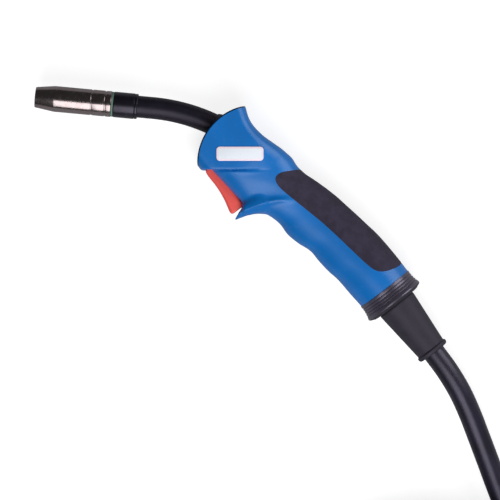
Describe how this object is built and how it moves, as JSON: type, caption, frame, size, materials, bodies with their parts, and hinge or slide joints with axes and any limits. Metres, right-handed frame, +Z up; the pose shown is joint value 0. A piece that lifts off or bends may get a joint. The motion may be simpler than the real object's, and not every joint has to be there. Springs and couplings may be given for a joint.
{
  "type": "mig welding torch",
  "caption": "Hand-held MIG welding torch with swan neck, two-part blue handle, red trigger, swivelling boot, coiled power cable and central connector.",
  "frame": {"origin": "bottom centre of the box round the torch without its cable, on the surface it lies on", "axes": "+X runs back along the grip towards the cable, +Y towards the back of the hand, +Z up out of the side it lies on"},
  "size_m": [0.6862, 0.3158, 0.0481],
  "materials": {
    "blue_plastic": "satin moulded",
    "black_plastic": "satin",
    "grip_rubber": "matte soft-touch",
    "red_plastic": "satin moulded",
    "dark_chrome": "dark polished",
    "copper": "turned",
    "brass": "turned",
    "steel": "plain",
    "white_plastic": "satin",
    "green_seal": "matte",
    "cable_rubber": "satin"
  },
  "bodies": {
    "handle": {"handle_shell_left": "blue_plastic", "handle_shell_right": "blue_plastic", "grip_left": "grip_rubber", "grip_right": "grip_rubber", "handle_screws": "steel", "badge_plate": "white_plastic", "seal_ring": "green_seal", "contact_tip": "copper", "tip_holder": "brass", "gas_diffuser": "white_plastic", "nozzle_spring": "steel", "neck_collar": "black_plastic", "neck_tube": "copper", "neck_jacket": "cable_rubber", "neck_grommet": "black_plastic", "neck_block": "brass", "trigger_pin": "steel", "trigger_spring": "steel", "switch_frame": "black_plastic", "microswitch": "black_plastic", "control_leads": "red_plastic", "inner_cable": "cable_rubber", "cable_clamp": "black_plastic", "rear_ring": "black_plastic"},
    "nozzle": {"gas_nozzle": "dark_chrome"},
    "trigger": {"trigger": "red_plastic"},
    "switch_plunger": {"switch_plunger": "red_plastic"},
    "cable": {"swivel_ball": "black_plastic", "cable_boot": "cable_rubber", "cable_run": "cable_rubber", "cable_coil": "cable_rubber", "coil_ties": "black_plastic", "cable_tail": "cable_rubber", "plug_boot": "cable_rubber", "plug_housing": "black_plastic", "plug_screws": "steel", "plug_core": "black_plastic", "wire_spigot": "brass", "spigot_o_ring": "cable_rubber"},
    "connector_nut": {"plug_nut": "black_plastic"},
    "left_pilot_pin": {"pilot_pin_left": "brass"},
    "right_pilot_pin": {"pilot_pin_right": "brass"}
  },
  "joints": [
    {"name": "trigger_pull", "type": "hinge", "parent": "handle", "child": "trigger", "pos_m": [-0.03811, 0.00987, 0.02375], "axis": [0, 0, 1], "range_deg": [0, 7.5], "stiffness_Nm_per_rad": 1.2, "springref_deg": -2.86, "deforming": ["trigger_spring"]},
    {"name": "plunger_press", "type": "slide", "parent": "handle", "child": "switch_plunger", "axis": [0, 1, 0], "range_m": [0, 0.002]},
    {"name": "nozzle_pull", "type": "slide", "parent": "handle", "child": "nozzle", "axis": [-0.682, -0.7314, 0], "range_m": [0, 0.03]},
    {"name": "cable_swing", "type": "hinge", "parent": "handle", "child": "cable", "pos_m": [0.11539, 0.05037, 0.02375], "axis": [0, 0, 1], "range_deg": [-8, 8], "deforming": ["inner_cable"]},
    {"name": "connector_nut_turn", "type": "hinge", "parent": "cable", "child": "connector_nut", "pos_m": [0.49489, -0.20569, 0.0215], "axis": [0, -1, 0], "continuous": true},
    {"name": "left_pin_push", "type": "slide", "parent": "cable", "child": "left_pilot_pin", "axis": [0, 1, 0], "range_m": [0, 0.004], "stiffness_N_per_m": 600},
    {"name": "right_pin_push", "type": "slide", "parent": "cable", "child": "right_pilot_pin", "axis": [0, 1, 0], "range_m": [0, 0.004], "stiffness_N_per_m": 600}
  ],
  "couplings": [
    {"joint": "plunger_press", "follows": "trigger_pull", "m_per_rad": 0.0151}
  ]
}
